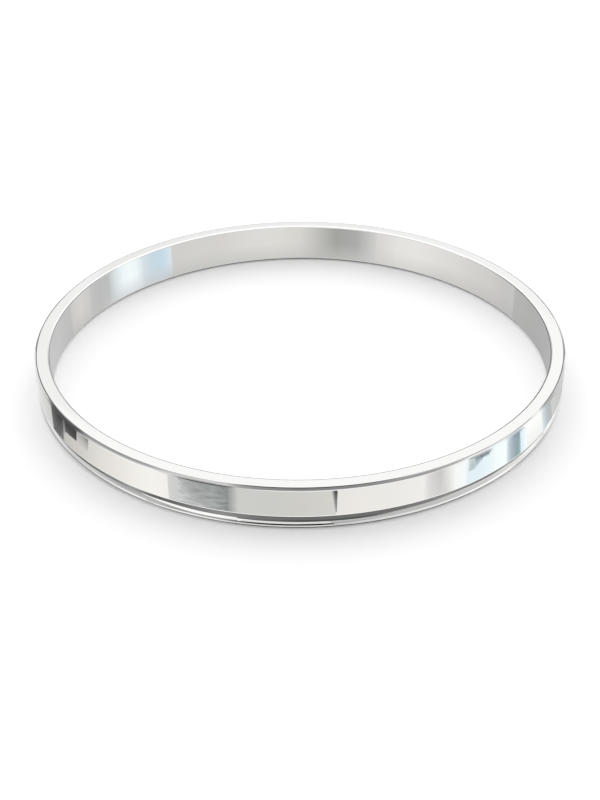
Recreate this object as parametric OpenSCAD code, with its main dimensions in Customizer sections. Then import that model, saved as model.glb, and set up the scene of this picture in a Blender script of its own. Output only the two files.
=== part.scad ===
// Plain round kada bangle, one closed ring of polished metal.
//
// The ring is one solid. Its section, from the floor up, is a round wire rim as
// thick as the wall, filed to a narrow flat where it rests, then a fine groove,
// then an upright flat band with a level top face and both top edges broken.
// The wrist hole is a straight bore.
//
// Origin: centre of the wrist hole, on the surface the ring rests on. +Z up,
// along the axis of the ring. Millimetres.

/* [Ring] */
// Inside diameter, the bangle size (60.3 is size 2-6)
inner_d = 60.3; // [54:0.1:70]
// Thickness of the wall, from the wrist hole to the outer face
wall_t = 1.75; // [1.5:0.05:2.5]

/* [Band] */
// Height of the upright flat band
band_h = 3.62; // [2.5:0.01:8]
// Size of the broken outer top edge, measured level
top_edge_out = 0.25; // [0.1:0.01:0.4]
// Size of the broken inner top edge, measured level
top_edge_in = 0.12; // [0.05:0.01:0.3]

/* [Round rim] */
// Height that is filed off the round rim, so that it rests on a narrow flat
rim_flat_cut = 0.05; // [0.03:0.01:0.12]

/* [Groove] */
// Depth of the groove below the band, from the outer face
groove_d = 0.6; // [0.35:0.01:0.65]
// Clear height of the groove over the crest of the round rim
groove_gap = 0.03; // [0.02:0.01:0.2]

/* [Fineness] */
// Segments round the ring in a preview
ring_fn = 180; // [96:4:240]

/* [Hidden] */

bore_r = inner_d / 2;
outer_r = bore_r + wall_t;
rim_r = wall_t / 2;
rim_z = rim_r - rim_flat_cut;
band_z = rim_z + rim_r + groove_gap;
total_h = band_z + band_h;
bite = 0.4;

// One row for each upright section of the wall over the round rim:
// 0 name, 1 lower z, 2 upper z, 3 outer radius, 4 broken edge inside, 5 broken edge outside
S_NAME = 0;
S_LOW = 1;
S_HIGH = 2;
S_OUTER = 3;
S_EDGE_IN = 4;
S_EDGE_OUT = 5;
sections = [
    ["neck", rim_z, band_z + bite, outer_r - groove_d, 0, 0],
    ["band", band_z, total_h, outer_r, top_edge_in, top_edge_out],
];

// Outline of one row: bore side, outer side, and the broken top edges if it has them
function outline(s) = concat(
    [[bore_r, s[S_LOW]], [s[S_OUTER], s[S_LOW]]],
    s[S_EDGE_OUT] > 0
        ? [[s[S_OUTER], s[S_HIGH] - s[S_EDGE_OUT]], [s[S_OUTER] - s[S_EDGE_OUT], s[S_HIGH]]]
        : [[s[S_OUTER], s[S_HIGH]]],
    s[S_EDGE_IN] > 0
        ? [[bore_r + s[S_EDGE_IN], s[S_HIGH]], [bore_r, s[S_HIGH] - s[S_EDGE_IN]]]
        : [[bore_r, s[S_HIGH]]]
);

// Section of the round rim with its filed flat
module rim_section() {
    difference() {
        translate([bore_r + rim_r, rim_z]) circle(r = rim_r, $fn = 96);
        translate([bore_r - 1, -2]) square([wall_t + 2, 2]);
    }
}

// Whole section of the wall
module wall_section() {
    rim_section();
    for (s = sections) polygon(outline(s));
}

// The bangle: one turned ring
module bangle() {
    color([0.80, 0.80, 0.79])
        rotate_extrude($fn = ring_fn) wall_section();
}

bangle();
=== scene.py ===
import math

import bpy
import numpy as np
from mathutils import Matrix, Vector


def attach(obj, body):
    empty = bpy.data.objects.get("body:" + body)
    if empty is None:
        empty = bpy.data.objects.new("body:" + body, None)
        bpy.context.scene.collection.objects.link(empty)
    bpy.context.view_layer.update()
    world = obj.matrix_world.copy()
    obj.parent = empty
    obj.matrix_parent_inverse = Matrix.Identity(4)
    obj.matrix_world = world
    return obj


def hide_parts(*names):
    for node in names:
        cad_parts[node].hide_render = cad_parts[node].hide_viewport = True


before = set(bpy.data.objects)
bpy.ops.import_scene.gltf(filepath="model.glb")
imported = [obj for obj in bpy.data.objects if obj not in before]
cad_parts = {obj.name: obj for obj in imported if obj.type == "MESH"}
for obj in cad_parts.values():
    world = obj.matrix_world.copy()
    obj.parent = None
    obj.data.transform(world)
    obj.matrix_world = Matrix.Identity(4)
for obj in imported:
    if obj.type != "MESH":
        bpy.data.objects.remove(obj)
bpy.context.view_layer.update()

MM = 0.001

# Sizes of the bangle, the same as in the CAD model (millimetres)
BORE_R = 30.15
WALL_T = 1.75
BAND_H = 3.62
EDGE_OUT = 0.25
EDGE_IN = 0.23
CROWN = 0.008
RIM_CUT = 0.05
GROOVE_D = 0.60
GROOVE_GAP = 0.03

OUTER_R = BORE_R + WALL_T
RIM_R = WALL_T / 2
RIM_C = BORE_R + RIM_R
RIM_Z = RIM_R - RIM_CUT
BAND_Z = RIM_Z + RIM_R + GROOVE_GAP
TOP_Z = BAND_Z + BAND_H
NECK_R = OUTER_R - GROOVE_D

# Camera, fitted to the outline of the bangle in the photo (millimetres, degrees)
CAM = {"focal_px": 1309.3, "pitch": 32.71, "back": 138.54, "up": 84.55, "side": -0.04, "roll": -0.417}


def camera_axes():
    p, r = math.radians(CAM["pitch"]), math.radians(CAM["roll"])
    ahead = Vector((0, math.cos(p), -math.sin(p)))
    right = Vector((1, 0, 0))
    up = Vector((0, math.sin(p), math.cos(p)))
    c, s = math.cos(r), math.sin(r)
    return right * c + up * s, up * c - right * s, ahead


def make_camera():
    right, up, ahead = camera_axes()
    data = bpy.data.cameras.new("camera")
    cam = bpy.data.objects.new("camera", data)
    bpy.context.scene.collection.objects.link(cam)
    m = Matrix.Identity(4)
    for i in range(3):
        m[i][0], m[i][1], m[i][2] = right[i], up[i], -ahead[i]
    m.translation = Vector((CAM["side"], -CAM["back"], CAM["up"])) * MM
    cam.matrix_world = m
    data.sensor_fit = "AUTO"
    data.sensor_width = 36.0
    data.lens = 36.0 * CAM["focal_px"] / 800.0
    data.clip_start, data.clip_end = 0.005, 20.0
    bpy.context.scene.camera = cam
    return cam


# ---------------------------------------------------------------- the ring


def line_span(p, q, n):
    """A straight stretch of the section, from p to q, with n cuts and a flat normal."""
    dx, dz = q[0] - p[0], q[1] - p[1]
    length = math.hypot(dx, dz)
    nrm = (dz / length, -dx / length)
    return [
        ((p[0] + dx * i / n, p[1] + dz * i / n), (p[0] + dx * (i + 1) / n, p[1] + dz * (i + 1) / n), nrm, nrm)
        for i in range(n)
    ]


def arc_span(c, r, a0, a1, n, sign=1.0):
    """A round stretch about c. sign is -1 where the metal is outside the arc."""
    out = []
    for i in range(n):
        u, v = math.radians(a0 + (a1 - a0) * i / n), math.radians(a0 + (a1 - a0) * (i + 1) / n)
        out.append((
            (c[0] + r * math.cos(u), c[1] + r * math.sin(u)),
            (c[0] + r * math.cos(v), c[1] + r * math.sin(v)),
            (sign * math.cos(u), sign * math.sin(u)),
            (sign * math.cos(v), sign * math.sin(v)),
        ))
    return out


def rounded(points, cuts, arcs):
    """Spans through corner points (r, z, rounding), walked with the metal on the left."""
    spans = []
    n = len(points)
    start = None
    for i in range(1, n):
        a, b = points[i - 1], points[i]
        ra, rb = a[2], b[2]
        d = math.hypot(b[0] - a[0], b[1] - a[1])
        ux, uz = (b[0] - a[0]) / d, (b[1] - a[1]) / d
        p = start if start else (a[0], a[1])
        if i < n - 1 and rb > 0:
            c = points[i + 1]
            e = math.hypot(c[0] - b[0], c[1] - b[1])
            vx, vz = (c[0] - b[0]) / e, (c[1] - b[1]) / e
            turn = math.atan2(ux * vz - uz * vx, ux * vx + uz * vz)
            back = rb * math.tan(abs(turn) / 2)
            q = (b[0] - ux * back, b[1] - uz * back)
            spans += line_span(p, q, cuts[i - 1])
            left = 1.0 if turn > 0 else -1.0
            cen = (q[0] - uz * rb * left, q[1] + ux * rb * left)
            a0 = math.degrees(math.atan2(q[1] - cen[1], q[0] - cen[0]))
            spans += arc_span(cen, rb, a0, a0 + math.degrees(turn), arcs.get(i, 5), left)
            start = (b[0] + vx * back, b[1] + vz * back)
        else:
            spans += line_span(p, (b[0], b[1]), cuts[i - 1])
            start = None
    return spans


def wall_section():
    """The closed section of the wall as short spans, walked with the metal on the left."""
    half_flat = math.sqrt(RIM_R ** 2 - RIM_Z ** 2)
    a_flat = math.degrees(math.atan2(RIM_Z, half_flat))
    root = math.sqrt(RIM_R ** 2 - (NECK_R - RIM_C) ** 2)
    a_root = math.degrees(math.atan2(root, NECK_R - RIM_C))
    spans = []
    # flat that the ring rests on, then the outside of the round rim up to the groove
    spans += line_span((RIM_C - half_flat, 0), (RIM_C + half_flat, 0), 2)
    spans += arc_span((RIM_C, RIM_Z), RIM_R, -a_flat, a_root, 40)
    spans += line_span((NECK_R, RIM_Z + root), (NECK_R, BAND_Z), 1)
    # under the band, up its outer face, over the top face and down to the bore
    spans += rounded(
        [
            (NECK_R, BAND_Z, 0),
            (OUTER_R, BAND_Z, 0.09),
            (OUTER_R, TOP_Z - EDGE_OUT, 0.30),
            (OUTER_R - EDGE_OUT, TOP_Z - CROWN, 0.24),
            ((OUTER_R + BORE_R) / 2, TOP_Z, 20.0),
            (BORE_R, TOP_Z - CROWN, EDGE_IN),
            (BORE_R, RIM_Z, 0),
        ],
        [2, 6, 2, 2, 2, 8],
        {5: 10, 3: 9, 4: 8},
    )
    spans += arc_span((RIM_C, RIM_Z), RIM_R, 180, 180 + a_flat, 14)
    return spans


def lathe(name, spans, turns):
    """A closed ring with the exact normals of its section."""
    k = len(spans)
    rs = np.array([s[0][0] for s in spans])
    zs = np.array([s[0][1] for s in spans])
    th = np.arange(turns) * 2 * np.pi / turns
    co, si = np.cos(th), np.sin(th)
    verts = np.empty((turns, k, 3))
    verts[:, :, 0] = co[:, None] * rs[None, :]
    verts[:, :, 1] = si[:, None] * rs[None, :]
    verts[:, :, 2] = zs[None, :]
    verts = (verts.reshape(-1, 3) * MM).tolist()
    faces, normals = [], []
    for i in range(turns):
        j = (i + 1) % turns
        for e in range(k):
            g = (e + 1) % k
            faces.append((i * k + e, j * k + e, j * k + g, i * k + g))
            n0, n1 = spans[e][2], spans[e][3]
            normals += [
                (n0[0] * co[i], n0[0] * si[i], n0[1]),
                (n0[0] * co[j], n0[0] * si[j], n0[1]),
                (n1[0] * co[j], n1[0] * si[j], n1[1]),
                (n1[0] * co[i], n1[0] * si[i], n1[1]),
            ]
    mesh = bpy.data.meshes.new(name)
    mesh.from_pydata(verts, [], faces)
    mesh.update()
    mesh.polygons.foreach_set("use_smooth", [True] * len(mesh.polygons))
    mesh.normals_split_custom_set(normals)
    mesh.validate(clean_customdata=False)
    mesh.update()
    obj = bpy.data.objects.new(name, mesh)
    bpy.context.scene.collection.objects.link(obj)
    return obj


# ---------------------------------------------------------------- materials


def node_maker(tree):
    def make(kind, inputs=None, **props):
        n = tree.nodes.new(kind)
        for key, val in props.items():
            setattr(n, key, val)
        for key, val in (inputs or {}).items():
            if isinstance(val, bpy.types.NodeSocket):
                tree.links.new(val, n.inputs[key])
            else:
                n.inputs[key].default_value = val
        return n
    return make


def polished_metal():
    """Mirror-polished white metal: turning marks round the ring, hairlines and a faint ripple."""
    mat = bpy.data.materials.new("polished_steel")
    mat.use_nodes = True
    tree = mat.node_tree
    tree.nodes.clear()
    N = node_maker(tree)
    co = N("ShaderNodeTexCoord")
    sep = N("ShaderNodeSeparateXYZ", {0: co.outputs["Object"]})
    angle = N("ShaderNodeMath", {0: sep.outputs["Y"], 1: sep.outputs["X"]}, operation="ARCTAN2")
    xx = N("ShaderNodeMath", {0: sep.outputs["X"], 1: sep.outputs["X"]}, operation="MULTIPLY")
    yy = N("ShaderNodeMath", {0: sep.outputs["Y"], 1: sep.outputs["Y"]}, operation="MULTIPLY")
    rr = N("ShaderNodeMath", {0: xx.outputs[0], 1: yy.outputs[0]}, operation="ADD")
    rad = N("ShaderNodeMath", {0: rr.outputs[0]}, operation="SQRT")
    # metres round the ring, metres up and metres out, so that marks can run round it
    run = N("ShaderNodeMath", {0: angle.outputs[0], 1: 0.031}, operation="MULTIPLY")
    # turning marks: long round the ring, fine across it
    turned = N("ShaderNodeCombineXYZ", {"X": run.outputs[0], "Y": sep.outputs["Z"], "Z": rad.outputs[0]})
    mark_map = N("ShaderNodeMapping", {"Vector": turned.outputs[0], "Scale": (110.0, 9000.0, 9000.0)})
    marks = N("ShaderNodeTexNoise", {"Vector": mark_map.outputs[0], "Scale": 1.0, "Detail": 3.0, "Roughness": 0.6})
    # hairline scratches, slanting a little
    hair_map = N("ShaderNodeMapping", {"Vector": turned.outputs[0], "Rotation": (0.0, 0.0, 0.35), "Scale": (420.0, 5200.0, 5200.0)})
    hair = N("ShaderNodeTexNoise", {"Vector": hair_map.outputs[0], "Scale": 1.0, "Detail": 2.0, "Roughness": 0.5})
    hair_cut = N("ShaderNodeMapRange", {0: hair.outputs["Fac"], 1: 0.62, 2: 0.72, 3: 0.0, 4: 1.0})
    # faint ripple left by the polishing wheel
    ripple = N("ShaderNodeTexNoise", {"Vector": co.outputs["Object"], "Scale": 420.0, "Detail": 2.0, "Roughness": 0.5})
    # smudges
    smudge = N("ShaderNodeTexNoise", {"Vector": co.outputs["Object"], "Scale": 150.0, "Detail": 4.0, "Roughness": 0.6})
    rough = N("ShaderNodeMapRange", {0: smudge.outputs["Fac"], 1: 0.3, 2: 0.75, 3: 0.035, 4: 0.075})
    rough2 = N("ShaderNodeMath", {0: hair_cut.outputs[0], 1: 0.05}, operation="MULTIPLY")
    rough3 = N("ShaderNodeMath", {0: rough.outputs[0], 1: rough2.outputs[0]}, operation="ADD")
    tone = N("ShaderNodeMix", {0: smudge.outputs["Fac"], 6: (0.885, 0.885, 0.875, 1.0), 7: (0.91, 0.91, 0.905, 1.0)}, data_type="RGBA")
    b1 = N("ShaderNodeBump", {"Strength": 0.10, "Distance": 0.00002, "Height": marks.outputs["Fac"]})
    b2 = N("ShaderNodeBump", {"Strength": 0.12, "Distance": 0.00003, "Height": ripple.outputs["Fac"], "Normal": b1.outputs[0]})
    bsdf = N("ShaderNodeBsdfPrincipled", {
        "Base Color": tone.outputs[2],
        "Metallic": 1.0,
        "Roughness": rough3.outputs[0],
        "Normal": b2.outputs[0],
    })
    N("ShaderNodeOutputMaterial", {"Surface": bsdf.outputs[0]})
    return mat


def floor_material():
    mat = bpy.data.materials.new("white_floor")
    mat.use_nodes = True
    tree = mat.node_tree
    tree.nodes.clear()
    N = node_maker(tree)
    bsdf = N("ShaderNodeBsdfDiffuse", {"Color": (0.96, 0.96, 0.96, 1.0)})
    N("ShaderNodeOutputMaterial", {"Surface": bsdf.outputs[0]})
    return mat


def card_material():
    """One material for all cards: it gives off the tone stored on the card, mottled where asked. The cards glow though
    they are no lamps, and paint the reflections and the shade seen in the metal.
    """
    mat = bpy.data.materials.new("card")
    mat.use_nodes = True
    tree = mat.node_tree
    tree.nodes.clear()
    N = node_maker(tree)
    tone = N("ShaderNodeAttribute", attribute_name="tone")
    mottle = N("ShaderNodeAttribute", attribute_name="mottle")
    co = N("ShaderNodeTexCoord")
    turn = N("ShaderNodeMapping", {"Vector": co.outputs["Object"], "Rotation": (0.0, 0.0, 0.31)})
    grain = N("ShaderNodeMapping", {"Vector": turn.outputs[0], "Scale": (480.0, 2000.0, 1.0)})
    noise = N("ShaderNodeTexNoise", {"Vector": grain.outputs[0], "Scale": 1.0, "Detail": 4.0, "Roughness": 0.62})
    swing = N("ShaderNodeMapRange", {0: noise.outputs["Fac"], 1: 0.3, 2: 0.7, 3: -1.0, 4: 1.0})
    amount = N("ShaderNodeMath", {0: swing.outputs[0], 1: mottle.outputs["Fac"]}, operation="MULTIPLY")
    gain = N("ShaderNodeMath", {0: amount.outputs[0], 1: 1.0}, operation="ADD")
    glow = N("ShaderNodeEmission", {"Color": tone.outputs["Color"], "Strength": gain.outputs[0]})
    # the cards do not light the floor by way of the metal: that light passes through them
    path = N("ShaderNodeLightPath")
    to_floor = N("ShaderNodeMath", {0: path.outputs["Diffuse Depth"], 1: 0.5}, operation="GREATER_THAN")
    clear = N("ShaderNodeBsdfTransparent")
    both = N("ShaderNodeMixShader", {0: to_floor.outputs[0], 1: glow.outputs[0], 2: clear.outputs[0]})
    N("ShaderNodeOutputMaterial", {"Surface": both.outputs[0]})
    mat.cycles.emission_sampling = "NONE"
    return mat


# ---------------------------------------------------------------- studio

METAL = 0.9
WORLD_NEAR, WORLD_FAR = 0.72, 1.59


def shown(tone):
    """The light that a card gives off to be seen in the metal as this 0 to 255 tone."""
    if not isinstance(tone, tuple):
        tone = (tone, tone, tone)
    out = []
    for v in tone:
        x = v / 255
        lin = x / 12.92 if x <= 0.04045 else ((x + 0.055) / 1.055) ** 2.4
        out.append(lin / METAL)
    return out


def blend(tones, u):
    """The tone at u, between 0 and 1, along a list of evenly spaced tones."""
    if len(tones) == 1:
        return shown(tones[0])
    x = min(max(u, 0.0), 1.0) * (len(tones) - 1)
    i = min(int(x), len(tones) - 2)
    p, q = shown(tones[i]), shown(tones[i + 1])
    return [p[c] + (q[c] - p[c]) * (x - i) for c in range(3)]


def mirror_point(t, z, radius, inside, plane, reach):
    """Where the camera sees the level z=plane in the upright wall at angle t and height z.

    The point is no farther from the wall than reach."""
    a = math.radians(t)
    out = Vector((math.cos(a), -math.sin(a), 0))
    p = out * radius + Vector((0, 0, z))
    n = -out if inside else out
    v = (p - Vector((CAM["side"], -CAM["back"], CAM["up"]))).normalized()
    d = v - 2 * v.dot(n) * n
    return p + d * min((plane - p.z) / d.z, reach)


def card(name, point, nu, nv, tone_at, mat, mottle=0.0):
    """A glowing card made of a grid of points. It shows in reflections only, as a painted reflection in the metal."""
    verts, tones = [], []
    for i in range(nu + 1):
        for j in range(nv + 1):
            verts.append(tuple(point(i / nu, j / nv)))
            tones.append(list(tone_at(i / nu, j / nv)) + [1.0])
    faces = []
    for i in range(nu):
        for j in range(nv):
            a = i * (nv + 1) + j
            faces.append((a, a + nv + 1, a + nv + 2, a + 1))
    mesh = bpy.data.meshes.new(name)
    mesh.from_pydata(verts, [], faces)
    att = mesh.attributes.new("tone", "FLOAT_COLOR", "POINT")
    att.data.foreach_set("color", [c for t in tones for c in t])
    att = mesh.attributes.new("mottle", "FLOAT", "POINT")
    att.data.foreach_set("value", [mottle] * len(verts))
    mesh.materials.append(mat)
    mesh.update()
    obj = bpy.data.objects.new(name, mesh)
    bpy.context.scene.collection.objects.link(obj)
    obj.visible_camera = False
    obj.visible_diffuse = False
    obj.visible_transmission = False
    obj.visible_volume_scatter = False
    obj.visible_shadow = False
    return obj


def along(table, x):
    """The tone at x, read from a short table of places and tones."""
    last = len(table) - 1
    i = max(1, next((k for k in range(1, last) if x <= table[k][0]), last))
    (x0, a), (x1, b) = table[i - 1], table[i]
    a, b = (v if isinstance(v, tuple) else (v, v, v) for v in (a, b))
    u = min(max((x - x0) / (x1 - x0), 0.0), 1.0)
    return tuple(p + (q - p) * u for p, q in zip(a, b))


def wall_card(row, order, radius, inside, plane, reach, under, mat):
    """A level card, placed so that it is mirrored between the row's angles and heights of a wall and paints the
    reflection there.
    """
    name, hi, lo, heights, tones, tones_lo, mottle = row
    z_lo, z_hi = heights
    tones_lo = tones_lo or tones
    steps = max(4, int(abs(hi[1] - hi[0]) * 1.5), 4 * (len(tones) - 1))

    def angle(u, v):
        t0 = lo[0] + (hi[0] - lo[0]) * v
        t1 = lo[1] + (hi[1] - lo[1]) * v
        return t0 + (t1 - t0) * u

    def point(u, v, down=0.0):
        z = z_lo + (z_hi - z_lo) * v
        p = mirror_point(angle(u, v), z, radius, inside, plane + 0.002 * order, reach - 0.02 * order)
        p.z -= down
        return p * MM

    def tone_at(u, v):
        a, b = blend(tones_lo, u), blend(tones, u)
        w = min(max(v * 2.5 - 0.25, 0.0), 1.0) if inside else v
        return [a[c] + (b[c] - a[c]) * w for c in range(3)]

    def tone_under(u, v):
        # the painted underside darkens by up to a fifth away from the ring
        dim = 1.0 - 0.2 * min(max(v * 2.0 - 0.6, 0.0), 1.0)
        return shown(tuple(c * dim for c in along(under, angle(u, v))))

    card(name, point, steps, 20 if inside else 6, tone_at, mat, mottle)
    if under is not None:
        card(name + "_under", lambda u, v: point(u, v, 0.06 + 0.002 * order), steps, 6, tone_under, mat)


def edge_card(row, order, edge, inside, mat):
    """A narrow card close by, mirrored in a rounded edge where it tilts between two angles; it paints the reflection
    there.
    """
    name, t0, t1, from_tilt, to_tilt, away, tones = row
    radius, height, arc = edge
    eye = Vector((CAM["side"], -CAM["back"], CAM["up"]))

    def point(u, v):
        a = from_tilt[0] + (from_tilt[1] - from_tilt[0]) * u
        b = to_tilt[0] + (to_tilt[1] - to_tilt[0]) * u
        t, tilt = math.radians(t0 + (t1 - t0) * u), math.radians(a + (b - a) * v)
        out = Vector((math.cos(t), -math.sin(t), 0))
        n = out * (-math.sin(tilt) if inside else math.sin(tilt)) + Vector((0, 0, math.cos(tilt)))
        p = out * radius + Vector((0, 0, height)) + n * arc
        view = (p - eye).normalized()
        return (p + (view - 2 * view.dot(n) * n) * (away - 0.01 * order)) * MM

    card(name, point, max(8, int(t1 - t0)), 8, lambda u, v: shown(along(tones, t0 + (t1 - t0) * u)), mat)


def floor_card(row, order, mat):
    """A card on the floor, a part of a flat ring about the bangle, that paints a reflection in the metal."""
    name, t0, t1, r0, r1, tones = row

    def point(u, v):
        t = math.radians(t0 + (t1 - t0) * u)
        a = r0[0] + (r0[1] - r0[0]) * u
        b = r1[0] + (r1[1] - r1[0]) * u
        r = a + (b - a) * v
        return Vector((r * math.cos(t), -r * math.sin(t), 0.012 + 0.002 * order)) * MM

    card(name, point, max(4, int((t1 - t0) / 1.5)), 3, lambda u, v: blend(tones, u), mat)


def groove_shade_card(name, r0, r1, z, mat):
    """A level strip between the band and the rim, mirrored in the shoulder of the rim, where its dark tones paint the
    shade of the groove.
    """

    def point(u, v):
        t, r = math.radians(12 + 156 * u), r0 + (r1 - r0) * v
        return Vector((r * math.cos(t), -r * math.sin(t), z)) * MM

    card(name, point, 156, 2, lambda u, v: shown(along(GROOVE, 12 + 156 * u)), mat)


def sky_card(row, order, mat):
    """A far card on a sphere: azimuth from and to, elevations from and to at both ends, tones."""
    name, az0, az1, el0, el1, tones = row
    far = 0.9 - 0.004 * order

    def point(u, v):
        az = math.radians(az0 + (az1 - az0) * u)
        a = el0[0] + (el0[1] - el0[0]) * u
        b = el1[0] + (el1[1] - el1[0]) * u
        el = math.radians(a + (b - a) * v)
        return Vector((math.cos(az) * math.cos(el), math.sin(az) * math.cos(el), math.sin(el))) * far

    card(name, point, 16, 10, lambda u, v: blend(tones, u), mat)


# Glowing cards that paint the reflections in the outer face of the band. Angles run from 0 at the right over 90 at the
# front to 180 at the left. Columns: name, angles at the top, angles at the bottom, heights,
# tones from the first angle to the second, the same at the bottom, mottling.
BAND_CARDS = [
    ("pale_right", (11, 29), (11, 26), (1.76, 5.2), [205, 199, 197, (206, 208, 205)], None, 0),
    ("blue_edge", (28.6, 33.6), (25.6, 31.4), (1.76, 5.2), [(180, 183, 184), (184, 193, 198), (218, 231, 236)], None, 0),
    ("white_right", (33.4, 40.4), (31.0, 39.2), (1.76, 5.2), [252, 255], [240, 240], 0),
    ("sky_edge", (39.6, 42.2), (38.4, 41.2), (1.76, 5.2), [(250, 253, 254), (212, 234, 241)], None, 0),
    ("blue_bar", (42.0, 46.4), (40.8, 45.8), (1.76, 5.2), [(146, 170, 174), (144, 160, 168), (164, 174, 190), (186, 196, 210), (230, 240, 245)], [(168, 190, 190), (146, 168, 168), (166, 180, 184), (188, 200, 210), (232, 241, 245)], 0),
    ("white_blue", (46.2, 50.2), (45.6, 49.6), (1.76, 5.2), [(246, 254, 255), (245, 253, 254)], None, 0),
    ("sky_patch", (49.8, 56.6), (49.2, 56.4), (1.76, 5.2), [(240, 249, 252), (229, 242, 248), (226, 240, 246)], None, 0),
    ("sky_patch_grey", (51.2, 56.5), (54.9, 56.4), (3.5, 5.2), [(150, 166, 178), (150, 165, 176), (170, 182, 188), (186, 198, 198), (215, 224, 224)], [(200, 216, 226), (188, 204, 210), (184, 197, 198), (205, 216, 216)], 0.2),
    ("sky_patch_dark", (50.2, 54.8), (51.2, 54.8), (4.55, 5.2), [(130, 138, 146), (120, 128, 136), (118, 130, 138)], [(155, 167, 177), (144, 156, 164), (144, 156, 164)], 0.35),
    ("blue_bar_top", (42.0, 44.8), (42.0, 43.0), (4.1, 5.2), [(122, 134, 146), (146, 156, 170)], [(150, 170, 178), (164, 178, 186)], 0.1),
    ("white_mid", (56.5, 60.4), (56.5, 60.2), (1.76, 5.2), [(250, 252, 253), (244, 246, 246)], None, 0),
    ("sky_patch_end", (56.4, 57.5), (56.3, 57.4), (1.76, 5.2), [(228, 240, 246), (250, 252, 253)], None, 0),
    ("rose_bar", (59.3, 66.5), (59.1, 66.4), (1.76, 5.2), [250, (238, 238, 237), (224, 222, 221), (200, 198, 196), (208, 206, 205), (216, 214, 213), (238, 236, 234)], [248, (230, 229, 228), (214, 213, 212), (212, 211, 209), (214, 213, 212), (222, 221, 219), (238, 236, 234)], 0),
    ("ivory_right", (66.4, 83.7), (66.3, 83.7), (1.76, 5.2), [(240, 238, 236), (236, 234, 231), (236, 233, 229), (233, 230, 226)], None, 0),
    ("warm_grey", (83.6, 101.8), (83.6, 102.0), (1.76, 5.2), [(212, 210, 206), (206, 205, 201), (204, 204, 200), (204, 204, 202)], None, 0),
    ("wedge", (83.3, 84.35), (83.42, 83.68), (2.2, 5.2), [20, 55, 165], [140, 190], 0),
    ("mottled_edge", (101.6, 103.6), (101.8, 103.8), (1.76, 5.2), [(203, 203, 201), (178, 179, 178), (146, 149, 149)], None, 0.05),
    ("mottled", (103.5, 113.6), (103.7, 113.6), (1.76, 5.2), [(144, 147, 147), (148, 152, 152), (147, 151, 150), (154, 158, 157), (194, 197, 196)], [(140, 144, 144), (166, 170, 170), (180, 182, 182), (186, 188, 188), (204, 206, 206)], 0.3),
    ("pale_edge", (113.5, 115.8), (113.5, 115.7), (1.76, 5.2), [(203, 205, 204), (211, 210, 209)], None, 0),
    ("ivory_left", (115.7, 136.0), (115.7, 137.0), (1.76, 5.2), [(242, 240, 236), (244, 242, 238), (239, 236, 232), (231, 228, 224), (224, 221, 216), (214, 212, 207)], None, 0),
    ("ivory_low", (135.9, 145.4), (136.9, 146.2), (1.76, 5.2), [(212, 210, 206), (208, 205, 201), (206, 201, 198)], [(212, 210, 206), (202, 198, 194), (190, 186, 182)], 0),
    ("grey_top", (135.7, 139.8), (136.3, 139.8), (3.3, 5.2), [(112, 110, 108), (148, 146, 143), (170, 168, 165), (176, 174, 170)], [(203, 201, 197), (205, 203, 199), (205, 203, 199), (203, 201, 197)], 0),
    ("dark_top", (139.6, 144.7), (140.2, 144.7), (3.55, 5.2), [60, 60, 66], [78, 90, 96], 0.1),
    ("dark_gap", (144.6, 145.3), (144.6, 145.9), (3.1, 5.2), [98], [168], 0),
    ("dark_bar", (145.2, 151.3), (145.9, 151.4), (1.76, 5.2), [54, 60, 84, 100], [138, 114, 110, 116], 0.1),
    # painted highlight along the lower edge of the band
    ("edge_white", (12, 168), (12, 168), (1.58, 1.86), [255], None, 0),
    ("pale_left", (151.2, 169), (151.2, 169), (1.76, 5.2), [(204, 202, 200), (211, 210, 208), (222, 222, 219), 229, 236], [204, 210, 217, 224, 230], 0),
]
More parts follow.
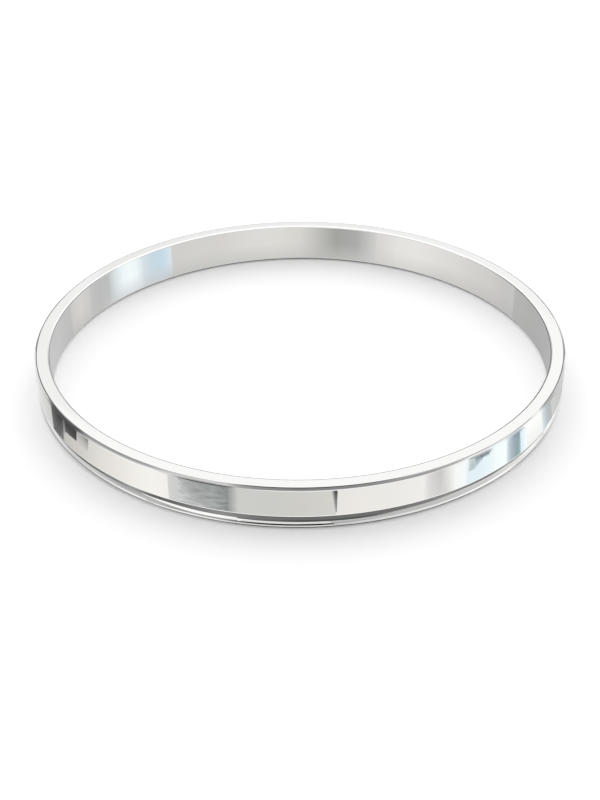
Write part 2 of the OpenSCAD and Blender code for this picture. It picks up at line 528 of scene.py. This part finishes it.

# Glowing cards that paint the reflections in the inner wall. Angles run on from 180 at the left over 270 at the back.
# Their bottom tones, mostly darker, paint the floor's shade mirrored near the wall foot.
BORE_CARDS = [
    ("bore_left", (176, 195.4), (176, 195.4), (0.05, 5.7), [198, 195, 190], [196, 193, 184], 0),
    ("bore_warm_left", (195.2, 205.2), (195.2, 205.2), (0.05, 5.7), [(202, 201, 200), (211, 210, 207), (203, 202, 201)], [(194, 192, 191), (199, 198, 196), (197, 196, 194)], 0),
    ("bore_grey_left", (205, 213.4), (205, 213.4), (0.05, 5.7), [194, 187, (190, 193, 193)], [192, 190, 196], 0),
    ("bore_glow", (213.2, 225.4), (213.2, 225.4), (0.05, 5.7), [(197, 202, 203), (218, 227, 230), (237, 246, 250), (243, 251, 253), (238, 247, 250), (215, 226, 232)], [(200, 202, 202), (214, 219, 221), (219, 224, 226), (212, 218, 220)], 0),
    ("bore_sky", (225.2, 234.4), (225.2, 234.4), (0.05, 5.7), [(213, 224, 230), (201, 217, 227), (198, 218, 233), (220, 230, 236)], [(206, 211, 213), (203, 208, 211), (201, 206, 208), (200, 203, 204)], 0),
    ("bore_warm", (234.2, 262), (234.2, 262), (0.05, 5.7), [(209, 206, 204), (210, 209, 206), (213, 210, 207), (219, 217, 214), (223, 220, 217)], [(198, 198, 196), (198, 198, 196), (199, 200, 197), (202, 203, 200), (206, 205, 202)], 0),
    ("bore_warm_back", (261.8, 274.4), (261.8, 274.4), (0.05, 5.7), [(222, 220, 216), (218, 217, 212), (214, 212, 208), (196, 195, 192)], [(206, 205, 202), (206, 204, 202), (201, 201, 198), (192, 191, 189)], 0),
    ("bore_shade", (274.2, 291.2), (274.2, 291.2), (0.05, 5.7), [(196, 195, 192), (163, 164, 160), (171, 172, 170), (208, 209, 206)], [(191, 190, 188), (184, 185, 182), (190, 190, 188), (204, 204, 202)], 0),
    ("bore_ivory", (291, 320.4), (291, 320.4), (0.05, 5.7), [(212, 211, 208), (228, 226, 224), (231, 229, 226), (225, 222, 220), (219, 217, 214), (212, 210, 208)], [(206, 205, 203), (214, 213, 211), (215, 214, 212), (207, 205, 203), (206, 204, 202), (202, 200, 198)], 0),
    ("bore_pale", (320.2, 332.4), (320.2, 332.4), (0.05, 5.7), [(211, 210, 208), (208, 206, 204), (198, 197, 195)], [(200, 199, 197), (197, 195, 193), (191, 190, 189)], 0),
    ("bore_grey_edge", (332.2, 337.6), (332.2, 337.6), (0.05, 5.7), [(197, 198, 196), (196, 197, 195)], [(188, 188, 188), (187, 187, 187)], 0),
    ("bore_grey", (337.4, 372), (337.4, 372), (0.05, 5.7), [182, 176, 175, 176, 176], [178, 172, 172, 174, 182], 0),
]

# Cards on the floor close to the ring that paint the reflections in its round rim and in the foot of the inner wall;
# the dark contact rows paint the contact shadow. Columns: name, angles, inner radius at both ends, outer radius at
# both ends, tones.
RIM_CARDS = [
    ("bore_back", 226, 326, (10, 10), (30.0, 30.0), [194, 205, 205, 205, 200, 192, 178]),
    ("bore_back_left", 150, 226, (10, 10), (30.0, 30.0), [194]),
    ("bore_back_right", 326, 400, (10, 10), (30.0, 30.0), [176]),
    ("bore_foot", 0, 180, (29.9, 29.9), (30.46, 30.46), [190]),
    ("bore_foot_left", 180, 236, (29.9, 29.9), (30.46, 30.46), [190, 190, 200, 205]),
    ("bore_foot_back", 236, 330, (29.9, 29.9), (30.46, 30.46), [198, 200, 186, 204, 204, 190]),
    ("bore_foot_right", 330, 360, (29.9, 29.9), (30.46, 30.46), [188, 174]),
    # painted shadow: dark sheets where the inner foot mirrors the floor's contact shadow
    ("bore_contact", 0, 360, (30.44, 30.44), (30.78, 30.78), [30]),
    ("bore_contact_right", 304, 352, (30.44, 30.34), (30.78, 30.78), [20, 0]),
    # painted shadow: dark sheets where the rim mirrors the floor's contact shadow
    ("rim_contact", 0, 360, (31.31, 31.31), (31.74, 31.74), [40]),
    ("rim_contact_left", 112, 166, (31.31, 31.31), (31.74, 32.10), [30, 0]),
    ("rim_contact_right", 12, 62, (31.31, 31.31), (32.10, 31.76), [10, 40]),
    ("rim_glow", 40, 156, (31.80, 31.80), (32.12, 32.12), [235, 242, 225, 215, 200, 165, 185, 220, 228, 224, 206, 200, 205]),
    ("rim_grey_right", 44, 84.2, (32.14, 32.14), (60, 60), [205, 195, 187]),
    ("rim_line_right", 68, 83.4, (33.9, 32.15), (36.0, 33.05), [186, 182, 174, 150]),
    ("rim_pale", 84.0, 102.2, (32.9, 32.9), (60, 60), [(222, 222, 220)]),
    ("rim_line", 83.0, 103.0, (32.15, 32.15), (33.05, 33.05), [80, 0, 0, 0, 0, 60, 120]),
    ("rim_pale_low", 84.0, 102.2, (31.80, 31.80), (32.18, 32.18), [(220, 220, 218)]),
    ("rim_white", 102.0, 115.6, (32.12, 32.12), (60, 60), [250]),
    ("rim_line_left", 102.0, 111.0, (32.2, 32.6), (32.95, 33.5), [110, 150]),
    ("rim_line_end", 110.8, 117.0, (32.6, 36.5), (33.5, 42.0), [150, 160, 176]),
    ("rim_grey_left", 115.4, 166, (32.10, 32.02), (35.2, 34.0), [178, 184, 194, 200, 208]),
]

# Cards on the floor that the camera never sees in the metal; they paint reflections for views from other sides.
OTHER_SIDE_CARDS = [
    ("bore_front", 34, 146, (14, 14), (29.8, 29.8), [205, 232, 190, 215, 240, 205, 180, 215]),
    ("back_right", 184, 214, (32.2, 32.2), (58, 58), [200, 238, 214]),
    ("back_dark", 214, 226, (32.2, 32.2), (44, 47), [120, 150]),
    ("back_pale", 226, 262, (32.2, 32.2), (62, 62), [225, 240, 206]),
    ("back_mid", 262, 292, (32.2, 32.2), (60, 60), [190, 205, 222]),
    ("back_sky", 292, 306, (32.2, 32.2), (55, 55), [(190, 210, 222), (226, 240, 246)]),
    ("back_shade", 306, 318, (32.2, 32.2), (50, 46), [140, 110]),
    ("back_left", 318, 356, (32.2, 32.2), (60, 60), [236, 215, 200]),
]

# Far cards that paint the reflections in the top face: name, azimuths from +X, lower elevation at both ends, upper
# elevation, tones.
SKY_CARDS = [
    ("ceiling", 20, 160, (17, 17), (50, 50), [248]),
    ("ceiling_low", 60, 120, (17, 17), (25.8, 25.8), [234]),
    ("ceiling_left", 101.2, 112, (20, 20), (33.2, 33.2), [239]),
    ("ceiling_back_left", 94.5, 101.3, (20, 20), (26.0, 28.6), [233]),
    ("ceiling_back_right", 78.5, 85.5, (20, 20), (28.2, 26.0), [242, 237]),
    ("ceiling_right", 67, 78.6, (20, 20), (28.6, 28.6), [243]),
]

# Cards close to the rounded top edges that paint their reflections, dark lines and light lines. Columns: name, first
# and last angle round the ring, least tilt of the surface at both ends, greatest tilt at both ends, distance, places
# round the ring and tones.
OUTER_EDGE_CARDS = [
    ("edge_upper", -22, 202, (12, 12), (41, 41), 2.5, [(-22, 120), (-12, 150), (-5, 185), (0, 170), (5, 150), (10, 110), (15, 90), (20, 95), (25, 120), (30, 130), (32, 160), (34, 235), (36, 230), (38, 170), (42, 165), (45, 200), (50, 190), (53, 165), (57, 165), (61, 195), (70, 182), (74, 125), (80, 95), (88, 80), (95, 80), (100, 105), (103, 180), (106, 205), (112, 195), (116, 188), (120, 158), (125, 145), (135, 142), (140, 135), (145, 155), (150, 125), (154, 75), (160, 60), (170, 60), (175, 95), (180, 125), (190, 160), (202, 110)]),
    ("edge_face", -22, 202, (41, 41), (49, 49), 2.5, [(-22, 150), (-5, 205), (0, 190), (5, 165), (10, 150), (13, 225), (16, 206), (24, 205), (28, 180), (31, (172, 178, 182)), (34, 245), (40, 245), (42.5, (205, 212, 216)), (45, (206, 212, 216)), (47, (236, 244, 248)), (51, 236), (56, 242), (58, 200), (60, 165), (66, 155), (71, 158), (75, 146), (80, 134), (90, 126), (96, 138), (101, 155), (104, 205), (111, 203), (116, 198), (121, 166), (127, 158), (134, 160), (137, 150), (139.5, 85), (150, 80), (152, 150), (154, 205), (160, 222), (169, 236), (172, 225), (174.5, 150), (178, 130), (182, 150), (202, 150)]),
    ("edge_lower", -10, 190, (49, 49), (71, 71), 2.5, [(-10, 205), (4, 185), (9, 190), (12, 240), (15, 210), (24, 203), (28, 176), (31.5, (184, 192, 196)), (34, 250), (40, 252), (42.4, (158, 174, 182)), (44.5, (176, 190, 199)), (47, (242, 250, 252)), (50, (242, 250, 252)), (51.5, 195), (56, 190), (57, 246), (60, 240), (62, 215), (64, 180), (68, 155), (73, 148), (78, 138), (84, 136), (92, 136), (98, 142), (101, 160), (104, 195), (107, 170), (110, 165), (113, 195), (116, 220), (120, 212), (124, 203), (130, 200), (135, 190), (138, 120), (140, 75), (150, 90), (152.5, 190), (156, 212), (168, 235), (172, 215), (178, 180), (190, 190)]),
    ("edge_light", 10, 170, (71, 71), (91, 91), 2.5, [(10, 250), (15, 215), (24, 199), (28.5, 182), (31.5, (184, 192, 196)), (34, 252), (40, 253), (42.3, (152, 174, 180)), (44.5, (172, 186, 196)), (47, (246, 253, 254)), (50.5, (240, 249, 252)), (51.6, (168, 176, 182)), (56.2, (160, 170, 176)), (57, 250), (60.5, 240), (63, (214, 212, 210)), (66.4, 240), (76, 246), (84, 238), (96, 226), (102, 200), (103.6, 70), (108, 60), (112, 85), (114.5, 200), (119, 252), (130, 242), (134, 215), (138, 190), (140.2, 80), (150, 95), (152, 180), (156, 210), (170, 238)]),
    ("edge_back", 186, 354, (1.0, 1.0), (34, 34), 2.5, [(186, 150), (196, 60), (205, 10), (230, 0), (310, 0), (335, 20), (345, 90), (354, 160)]),
]
# Cards close to the rounded inner edge of the top that paint its reflections; lip_white paints a highlight along the
# back. Columns as above.
INNER_EDGE_CARDS = [
    ("lip_front", 25, 150, (4, 4), (46, 46), 2.5, [(25, 100), (60, 60), (90, 10), (120, 90), (135, 140), (150, 140)]),
    ("lip_white", 186, 348, (14, 14), (62, 62), 2.5, [(186, 262), (348, 262)]),
    ("lip_left", 150, 216, (54, 54), (76, 76), 2.5, [(150, 150), (170, 110), (190, 100), (204, 110), (216, 190)]),
    ("lip_left_end", 150, 186, (8, 8), (54, 54), 2.5, [(150, 150), (168, 185), (174, 225), (180, 250), (186, 262)]),
    ("lip_right", 318, 385, (54, 45), (76, 76), 2.5, [(318, 205), (328, 150), (334, 80), (340, 5), (350, 15), (365, 30), (385, 70)]),
    ("lip_right_end", 348, 385, (8, 8), (48, 48), 2.5, [(348, 262), (355, 250), (362, 225), (372, 175), (385, 115)]),
]

# Cards close to the round rim that paint its reflections. Columns as above. Tilts over 90 are on its lower half.
RIM_EDGE_CARDS = [
    ("rim_strip_right", 30, 68, (58, 61.5), (92, 92), 0.5, [(30, 222), (35, 230), (40, 230), (44, 222), (50, 206), (55, 200), (60, 195), (66, 190), (68, 187)]),
    ("rim_strip_mid", 68, 84, (61.5, 70), (82, 82), 0.48, [(68, 187), (84, 188)]),
    ("rim_shoulder", 44, 66, (54, 57), (60, 60), 0.12, [(44, 222), (50, 216), (57, 222), (61, 190), (64, 140), (66, 125)]),
    ("rim_glow_right", 20, 84, (92, 94), (108, 108), 0.35, [(20, 235), (40, 236), (50, 247), (60, 242), (70, 230), (76, 214), (84, 205)]),
    # a dark band painted on the rim under the band
    ("rim_horizon", 72, 112, (66, 63.5), (72, 72), 0.47, [(72, 186), (74, 150), (77, 96), (82, 80), (90, 78), (98, 105), (104, 125), (108, 130), (112, 190)]),
    ("rim_strip_left", 118, 168, (60, 58), (76, 76), 0.5, [(118, 174), (122, 172), (126, 168), (130, 183), (135, 200), (140, 201), (150, 208), (160, 216), (168, 222)]),
    ("rim_strip_low", 118, 168, (75.8, 75.8), (101, 101), 0.48, [(118, 184), (124, 188), (130, 198), (135, 204), (140, 201), (150, 208), (160, 216), (168, 222)]),
    ("rim_white_a", 102, 111.2, (64.5, 64.5), (87, 84.5), 0.44, [(102, 235), (105, 252), (112, 252)]),
    ("rim_white_b", 111, 122, (64.5, 59.5), (84.5, 62), 0.43, [(111, 252), (122, 250)]),
    ("rim_grey_a", 102, 111.2, (87, 84.5), (103, 99.5), 0.42, [(102, 112), (105, 158), (111, 162)]),
    ("rim_grey_b", 111, 118, (84.5, 71), (99.5, 101), 0.41, [(111, 162), (114, 158), (118, 180)]),
    ("rim_glow_left", 102, 168, (102, 100), (120, 116), 0.3, [(102, 205), (106, 232), (112, 240), (122, 242), (128, 232), (133, 216), (138, 200), (150, 208), (168, 222)]),
    ("rim_white_left_a", 121, 142, (93, 67), (109, 84), 0.29, [(121, 242), (124, 246), (130, 232), (136, 214), (142, 208)]),
    ("rim_white_left_b", 142, 166, (67, 58), (84, 70), 0.29, [(142, 208), (148, 222), (154, 218), (160, 216), (166, 225)]),
    # painted shadow: a dark line on the rim just above its outline stands in for the contact shadow, with the floor's
    # shade below it
    ("rim_line_left_a", 119, 142, (112, 84), (132, 99), 0.27, [(119, 150), (124, 140), (130, 128), (136, 140), (142, 150)]),
    ("rim_line_left_b", 142, 166, (84, 70), (99, 92), 0.27, [(142, 150), (148, 158), (154, 165), (160, 190), (166, 215)]),
    ("rim_low_left_a", 119, 142, (132, 99), (140, 128), 0.25, [(119, 198), (142, 198)]),
    ("rim_low_left_b", 142, 166, (99, 92), (128, 108), 0.25, [(142, 198), (150, 202), (158, 212), (166, 225)]),
    ("rim_white_right", 31, 41, (58, 58), (72, 72), 0.46, [(31, 228), (35, 254), (38, 252), (41, 232)]),
    ("rim_white_wide", 42, 58, (80, 92), (100, 100), 0.34, [(42, 230), (45, 248), (50, 255), (55, 250), (58, 238)]),
    # painted shadow: a dark line on the lower half of the rim for the contact shadow
    ("rim_line_low_right", 20, 44, (84, 104), (112, 128), 0.27, [(20, 185), (24, 170), (30, 150), (36, 120), (40, 140), (44, 185)]),
]

# Painted shade in the crevice between the band and the rim: places round the ring and tones of the dark strip mirrored
# there.
GROOVE = [(12, 170), (28, 172), (36, 188), (42, 174), (46, 150), (50, 112), (60, 134), (66, 125), (72, 112), (90, 104), (98, 114), (105, 142), (110, 128), (115, 102), (120, 100), (122.5, 140), (125, 156), (128, 132), (132, 122), (140, 108), (148, 150), (168, 190)]

# The rim mirrors the undersides of the band cards, which paint the dark reflection under the band: places round the
# ring and tones.
UNDERSIDE = [(12, 205), (46, 205), (51, 195), (56, 190), (61, 190), (66, 150), (72, 125), (78, 85), (90, 80), (98, 112), (104, 130), (110, 116), (113, 170), (117, 215), (124, 180), (131, 185), (150, 195), (168, 205)]


def make_studio():
    mat = card_material()
    for i, row in enumerate(BAND_CARDS):
        wall_card(row, i, OUTER_R, False, 1.45, 100.0, UNDERSIDE, mat)
    for i, row in enumerate(BORE_CARDS):
        wall_card(row, i, BORE_R, True, 0.03, 4.0, None, mat)
    for i, row in enumerate(RIM_CARDS):
        floor_card(row, i, mat)
    for i, row in enumerate(OTHER_SIDE_CARDS):
        floor_card(row, i, mat)
    # dark strips that paint the shade in the groove
    groove_shade_card("groove", 31.62, 32.04, 1.47, mat)
    groove_shade_card("groove_shade_low", 31.80, 32.09, 1.385, mat)
    for i, row in enumerate(SKY_CARDS):
        sky_card(row, i, mat)
    for i, row in enumerate(OUTER_EDGE_CARDS):
        edge_card(row, i, (OUTER_R - EDGE_OUT * 0.5, TOP_Z - 0.06, 0), False, mat)
    for i, row in enumerate(INNER_EDGE_CARDS):
        edge_card(row, i, (BORE_R + EDGE_IN * 0.4, TOP_Z - 0.06, 0), True, mat)
    for i, row in enumerate(RIM_EDGE_CARDS):
        edge_card(row, i, (RIM_C, RIM_Z, RIM_R), False, mat)
    mesh = bpy.data.meshes.new("floor")
    s = 4.0
    mesh.from_pydata([(-s, -s, 0), (s, -s, 0), (s, s, 0), (-s, s, 0)], [], [(0, 1, 2, 3)])
    mesh.materials.append(floor_material())
    floor = bpy.data.objects.new("floor", mesh)
    bpy.context.scene.collection.objects.link(floor)
    world = bpy.data.worlds.new("studio")
    bpy.context.scene.world = world
    world.use_nodes = True
    tree = world.node_tree
    tree.nodes.clear()
    N = node_maker(tree)
    # soft light all round, stronger from behind the bangle than from the camera's side
    co = N("ShaderNodeTexCoord")
    sep = N("ShaderNodeSeparateXYZ", {0: co.outputs["Generated"]})
    depth = N("ShaderNodeMapRange", {0: sep.outputs["Y"], 1: -0.8, 2: 0.8, 3: WORLD_NEAR, 4: WORLD_FAR}, interpolation_type="SMOOTHSTEP")
    # behind the floor's far edge it is plain white
    path = N("ShaderNodeLightPath")
    strength = N("ShaderNodeMath", {0: depth.outputs[0], 1: path.outputs["Is Camera Ray"]}, operation="MAXIMUM")
    bg = N("ShaderNodeBackground", {"Color": (1.0, 1.0, 1.0, 1.0), "Strength": strength.outputs[0]})
    N("ShaderNodeOutputWorld", {"Surface": bg.outputs[0]})


make_camera()
bangle = lathe("bangle_metal", wall_section(), 840)
bangle.data.materials.append(polished_metal())
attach(bangle, "root")
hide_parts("bangle")
make_studio()

view = bpy.context.scene.view_settings
view.view_transform = "Standard"
view.look = "None"
view.exposure = 0.0
view.gamma = 1.0
